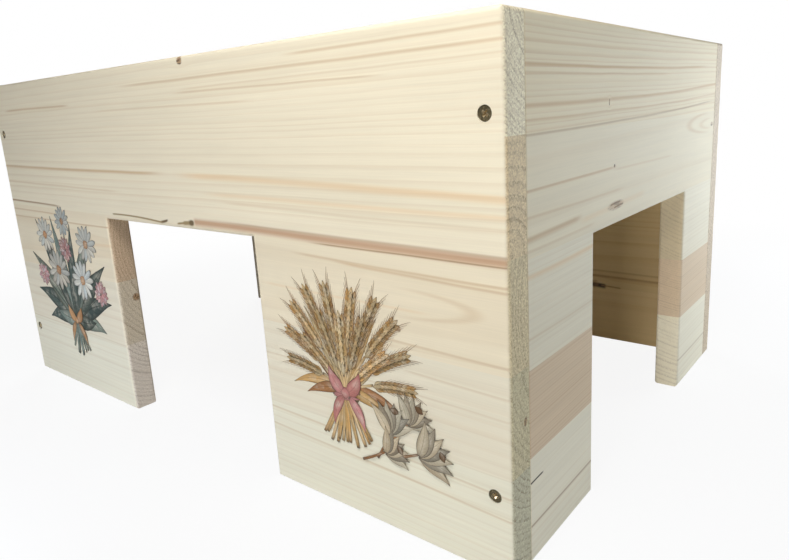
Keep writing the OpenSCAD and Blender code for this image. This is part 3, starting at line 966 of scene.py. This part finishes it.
# The posy: leaves behind, stalks, daisies and clover over them, then the ends below the tie
posy = []
posy_leaves = [
    (168, 60, 19, 34, SLATE), (150, 80, 22, 26, SLATE), (12, 58, 19, -34, SAGE),
    (32, 80, 22, -26, SLATE), (134, 98, 21, 14, SAGE), (48, 96, 21, -16, SLATE),
    (116, 112, 20, 8, SLATE), (66, 110, 20, -8, SAGE), (100, 104, 17, 4, SAGE),
    (82, 98, 17, -4, SLATE), (186, 40, 16, -24, SAGE), (-8, 40, 16, 24, SLATE),
]
for count, (turn, length, width, bend, colour) in enumerate(posy_leaves):
    tone = varied(colour, chance)
    posy.append(cut(blade_shape, *POSY_TIE, length, width, turn, bend, tone, 1.0, 0.005 * count))
flowers = [
    (daisy, -229.0, 154.0, 1.12, 10), (daisy, -146.0, 151.0, 1.14, 40), (daisy, -187.0, 170.0, 0.9, 75),
    (clover, -247.0, 112.0, 1.25, 0), (clover, -131.0, 106.0, 1.3, 70), (daisy, -211.0, 120.0, 1.34, 25),
    (daisy, -163.0, 115.0, 1.26, 60), (clover, -189.0, 143.0, 1.3, 140),
]
for count, (_, x, z, _, _) in enumerate(flowers):
    reach = math.hypot(x - POSY_TIE[0], z - POSY_TIE[1])
    turn = math.degrees(math.atan2(z - POSY_TIE[1], x - POSY_TIE[0]))
    tone = varied(SLATE, chance)
    posy.append(cut(stalk_shape, *POSY_TIE, reach, 1.9, turn, 0, tone, 0.5, 0.07 + 0.003 * count))
for count, (flower, x, z, size, turn) in enumerate(flowers):
    tone = varied((1, 1, 1), chance)
    posy.append(cut(flower, x, z, size / MM, size * 0.95 / MM, turn, 0, tone, 0, 0.10 + 0.05 * count))
for count in range(9):
    turn = -120 + 7.5 * count
    length = chance.uniform(32.0, 39.0)
    bend = chance.uniform(-8, 8)
    tone = varied(SAGE, chance)
    lift = 0.52 + 0.003 * count
    posy.append(cut(stalk_shape, *POSY_TIE, length, 2.5, turn, bend, tone, 0.6, lift))
posy_ribbon = [
    (-11.5, 0.5, 24.0, 6.0, -4, 12), (3.0, -3.0, 25.0, 7.0, -42, -36), (-3.0, -3.0, 25.0, 7.0, 224, 40),
    (1.0, -1.0, 20.0, 10.0, 26, 52), (-1.0, -1.0, 20.0, 10.0, 154, -52),
]
for count, (x, z, length, width, turn, bend) in enumerate(posy_ribbon):
    x, z = POSY_TIE[0] + x, POSY_TIE[1] + z
    tone = varied(OCHRE, chance)
    posy.append(cut(blade_shape, x, z, length, width, turn, bend, tone, 0.5, 0.56 + 0.004 * count))
posy.append(cut(round_shape, POSY_TIE[0] - 3.6, POSY_TIE[1] - 1.0, 7.2, 6.8, 0, 0, OCHRE, 0.2, 0.59))
press(posy, "posy_print", tissue)
for shape in (daisy, clover, grain_shape, awn_shape, stalk_shape, blade_shape, round_shape, petal_shape):
    bpy.data.objects.remove(shape)


# Studio: a white floor that keeps a faint shadow, a pale surround and six soft lamps. The camera
# stands where the photograph was taken from.
bpy.ops.object.select_all(action="DESELECT")
bpy.ops.mesh.primitive_plane_add(size=12)
floor = bpy.context.object
floor.name = "studio_floor"
floor_paint = bpy.data.materials.new("studio_floor")
floor_paint.use_nodes = True
floor_tree = floor_paint.node_tree
floor.data.materials.append(floor_paint)
floor_shader = floor_tree.nodes["Principled BSDF"]
floor_shader.inputs["Base Color"].default_value = (0.86, 0.9, 0.95, 1)
floor_shader.inputs["Roughness"].default_value = 0.9
floor_start = Wire(floor_tree)
seen = floor_start.add("ShaderNodeLightPath", {}, output="Is Camera Ray")
mirrored = floor_start.add("ShaderNodeLightPath", {}, output="Is Glossy Ray")
floor_place = floor_start.add("ShaderNodeTexCoord", {}, output="Object")
reach = floor_start.add("ShaderNodeVectorMath", {0: floor_place}, output="Value", operation="LENGTH")
whiteness = 0.9 + 0.1 * reach.rise(0.45, 1.0)
white = floor_start.add("ShaderNodeEmission", {"Color": (1, 1, 1, 1), "Strength": 1.0})
lit = Wire(floor_tree, floor_shader.outputs[0])
mixed = floor_start.add("ShaderNodeMixShader", {0: (seen + mirrored) * whiteness, 1: lit, 2: white})
floor_tree.links.new(mixed.socket, floor_tree.nodes["Material Output"].inputs["Surface"])

world = bpy.data.worlds.new("studio")
bpy.context.scene.world = world
world.use_nodes = True
surround = world.node_tree.nodes["Background"]
sky_start = Wire(world.node_tree)
sky_seen = sky_start.add("ShaderNodeLightPath", {}, output="Is Camera Ray")
sky_light = (0.03, 0.03, 0.03, 1)
sky_colour = sky_seen.pick(sky_light, (1, 1, 1, 1))
world.node_tree.links.new(sky_colour.socket, surround.inputs["Color"])


def soft_lamp(name, place, aim, width, height, power, colour):
    """Area lamp, unseen by the camera."""
    lamp = bpy.data.lights.new(name, "AREA")
    lamp.shape = "RECTANGLE"
    lamp.size = width
    lamp.size_y = height
    lamp.energy = power
    lamp.color = colour
    holder = bpy.data.objects.new(name, lamp)
    bpy.context.collection.objects.link(holder)
    holder.location = place
    holder.rotation_euler = (Vector(aim) - Vector(place)).to_track_quat("-Z", "Y").to_euler()
    holder.visible_camera = False


soft_lamp("top_lamp", (0.24, -0.48, 0.80), (0.30, -0.2, 0.26), 0.25, 0.25, 2.2, (0.96, 0.95, 1.0))
soft_lamp("corner_lamp", (0.36, -0.44, 0.66), (0.30, -0.2, 0.2), 0.25, 0.25, 1.65, (1.0, 0.97, 0.875))
soft_lamp("front_lamp", (0.72, -2.30, 0.16), (0.26, -0.1, 0.08), 0.5, 0.3, 15.8, (0.945, 0.965, 1.0))
soft_lamp("end_lamp", (0.66, 0.70, 0.22), (0.295, 0.12, 0.08), 0.5, 0.4, 4.3, (0.91, 0.965, 1.0))
soft_lamp("low_lamp", (-0.14, -0.40, 0.035), (-0.16, -0.2, 0.02), 0.4, 0.06, 0.15, (0.72, 0.81, 1.0))
soft_lamp("back_lamp", (-0.95, 0.75, 0.75), (-0.1, 0.05, 0.15), 0.8, 0.8, 10.0, (1.0, 0.98, 0.95))

scene = bpy.context.scene
scene.view_settings.view_transform = "Standard"
camera = bpy.data.cameras.new("photo_camera")
camera.sensor_width = 36.0
camera.lens = 29.154
camera.shift_x = -0.0282
camera.shift_y = -0.03299
viewer = bpy.data.objects.new("photo_camera", camera)
bpy.context.collection.objects.link(viewer)
viewer.location = (0.44729, -0.46267, 0.25633)
viewer.rotation_euler = Euler(math.radians(a) for a in (77.178, 2.995, 37.739))
scene.camera = viewer
